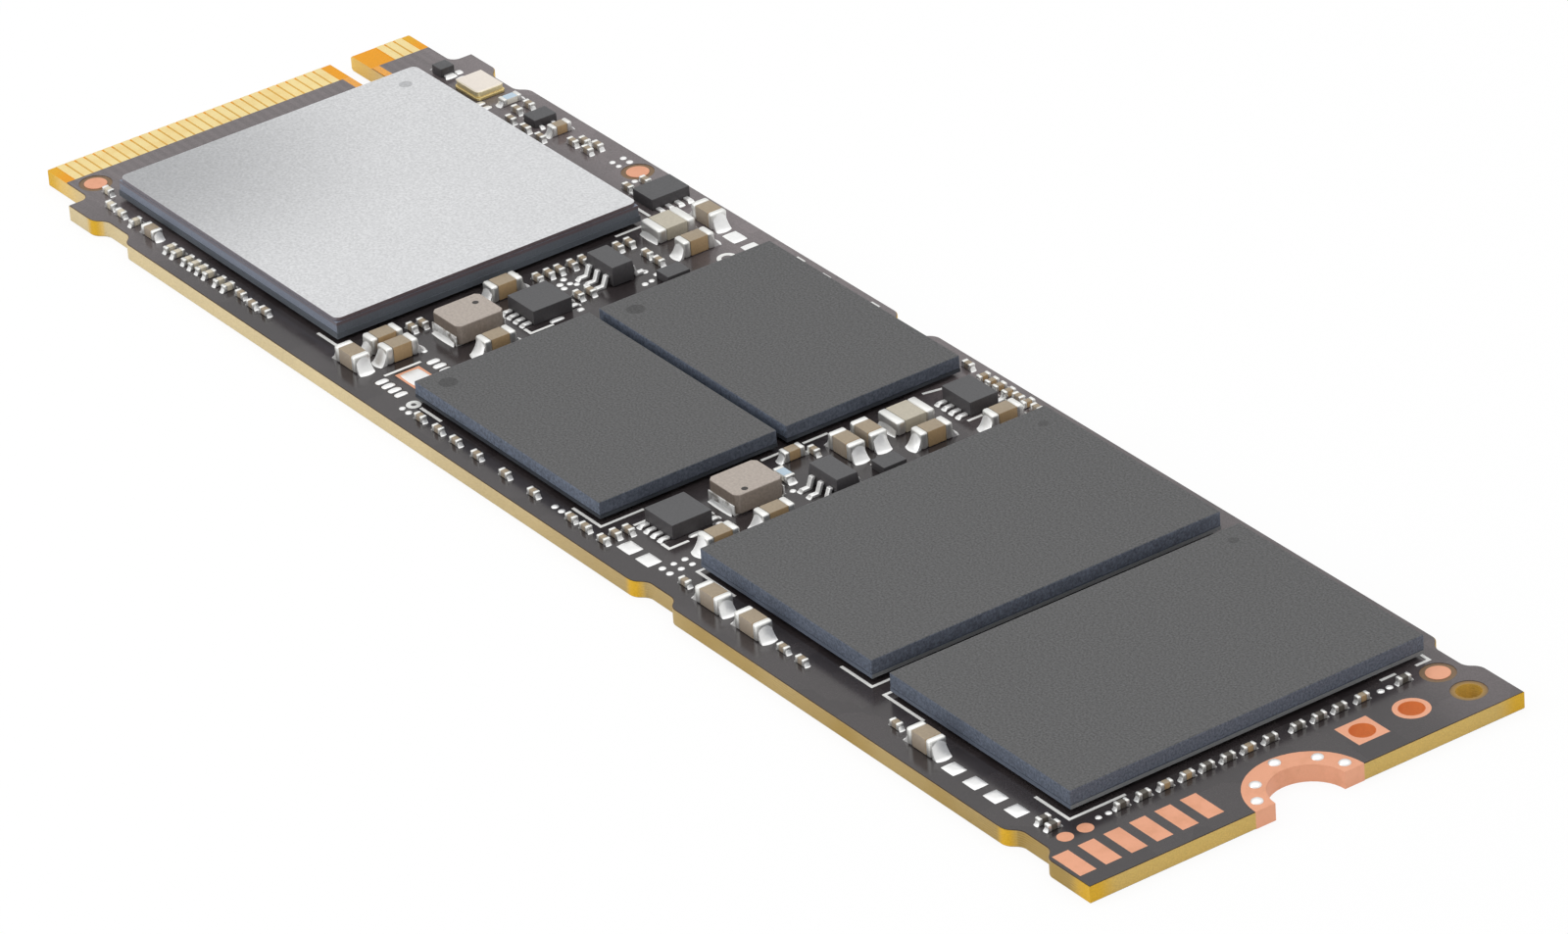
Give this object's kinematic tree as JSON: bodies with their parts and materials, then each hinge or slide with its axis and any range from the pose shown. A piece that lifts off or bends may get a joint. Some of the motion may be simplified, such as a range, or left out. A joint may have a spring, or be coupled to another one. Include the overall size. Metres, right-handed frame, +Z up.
{
  "type": "m2 nvme ssd",
  "caption": "Bare single-sided solid-state drive on a keyed card-edge board, with a metal-topped controller, memory and flash packages, chip parts and a plated half-hole.",
  "frame": {"origin": "middle of the board's underside, half-way along its length and width", "axes": "+X from the contact edge to the mounting half-hole, +Y to the far long edge where the key notch lies, +Z up, out of the side that carries the parts"},
  "size_m": [0.08, 0.022, 0.002],
  "materials": {
    "laminate": "satin",
    "solder_mask": "satin",
    "gold": "satin",
    "copper": "satin",
    "tin": "satin",
    "spreader_metal": "satin",
    "package_base": "matte",
    "package_moulding": "matte",
    "controller_moulding": "matte",
    "chip_moulding": "matte",
    "solder_ball": "satin",
    "capacitor_ceramic": "satin",
    "large_capacitor_ceramic": "satin",
    "resistor_glaze": "gloss",
    "inductor_body": "matte",
    "crystal_base": "satin",
    "crystal_lid": "satin"
  },
  "bodies": {
    "root": {"circuit_board": "laminate", "solder_mask_top": "solder_mask", "solder_mask_bottom": "solder_mask", "edge_contacts_top": "gold", "edge_contacts_bottom": "gold", "mounting_ring": "copper", "through_hole_lands": "copper", "fiducial_marks": "copper", "test_lands": "copper", "tinned_lands": "tin", "controller_base": "package_base", "controller_moulding": "controller_moulding", "controller_spreader": "spreader_metal", "controller_solder_balls": "solder_ball", "memory_bases": "package_base", "memory_moulding_near": "package_moulding", "memory_moulding_far": "package_moulding", "memory_solder_balls": "solder_ball", "flash_bases": "package_base", "flash_moulding_inner": "package_moulding", "flash_moulding_outer": "package_moulding", "flash_solder_balls": "solder_ball", "tiny_capacitor_bodies": "capacitor_ceramic", "tiny_capacitor_terminals": "tin", "small_capacitor_bodies": "capacitor_ceramic", "small_capacitor_terminals": "tin", "medium_capacitor_bodies": "capacitor_ceramic", "medium_capacitor_terminals": "tin", "large_capacitor_bodies": "large_capacitor_ceramic", "large_capacitor_terminals": "tin", "resistor_bodies": "resistor_glaze", "resistor_terminals": "tin", "inductor_bodies": "inductor_body", "inductor_straps": "tin", "regulator_bodies": "chip_moulding", "regulator_toes": "tin", "serial_memory_bodies": "chip_moulding", "serial_memory_toes": "tin", "logic_chip_bodies": "chip_moulding", "logic_chip_toes": "tin", "outline_chip_bodies": "chip_moulding", "outline_chip_leads": "tin", "diode_body": "chip_moulding", "diode_tabs": "tin", "crystal_base": "crystal_base", "crystal_lid": "crystal_lid"}
  },
  "joints": []
}
